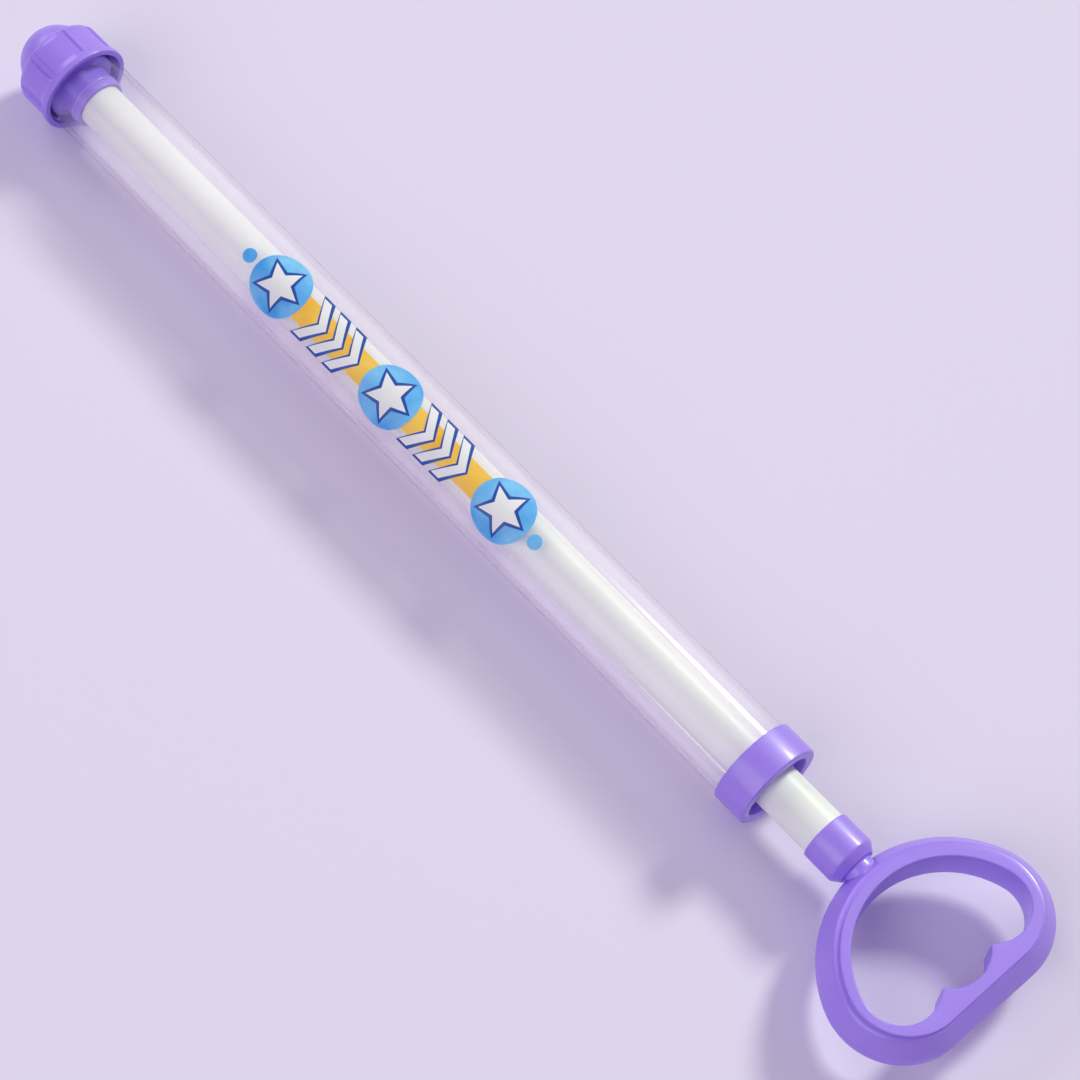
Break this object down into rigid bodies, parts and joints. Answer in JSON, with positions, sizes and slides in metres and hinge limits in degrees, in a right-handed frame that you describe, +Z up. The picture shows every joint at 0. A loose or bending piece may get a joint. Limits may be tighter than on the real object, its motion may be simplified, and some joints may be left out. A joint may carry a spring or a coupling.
{
  "type": "water squirter",
  "caption": "Toy water squirter: clear barrel, screw-on purple nozzle cap, white pull rod with a sealed piston, and a flat purple loop handle with finger hollows.",
  "frame": {"origin": "on the surface that the squirter lies on, below the middle of its length", "axes": "+X along the barrel's axis from the nozzle to the handle, +Z up from the surface, the handle's loop lies flat"},
  "size_m": [0.4746, 0.0842, 0.0348],
  "materials": {
    "purple_plastic": "semi-gloss moulded",
    "clear_plastic": "clear, polished",
    "white_plastic": "semi-gloss extruded",
    "seal_rubber": "slightly see-through"
  },
  "bodies": {
    "barrel": {"barrel_tube": "clear_plastic", "rear_collar": "purple_plastic", "rod_guide": "purple_plastic"},
    "seal": {"piston_seal": "seal_rubber"},
    "plunger": {"piston_head": "purple_plastic", "plunger_rod": "white_plastic", "handle": "purple_plastic"},
    "gasket": {"nozzle_gasket": "seal_rubber"},
    "cap": {"nozzle_cap": "purple_plastic"}
  },
  "joints": [
    {"name": "plunger_slide", "type": "slide", "parent": "barrel", "child": "seal", "axis": [1, 0, 0], "range_m": [-0.0074, 0.329]},
    {"name": "plunger_turn", "type": "hinge", "parent": "seal", "child": "plunger", "pos_m": [0, 0, 0.0174], "axis": [1, 0, 0], "continuous": true},
    {"name": "cap_lift", "type": "slide", "parent": "barrel", "child": "gasket", "axis": [-1, 0, 0], "range_m": [0, 0.0131]},
    {"name": "cap_turn", "type": "hinge", "parent": "gasket", "child": "cap", "pos_m": [-0.22248, 0, 0.0174], "axis": [-1, 0, 0], "range_deg": [0, 1170]}
  ],
  "couplings": [
    {"joint": "cap_lift", "follows": "cap_turn", "m_per_rad": 0.0006366}
  ]
}
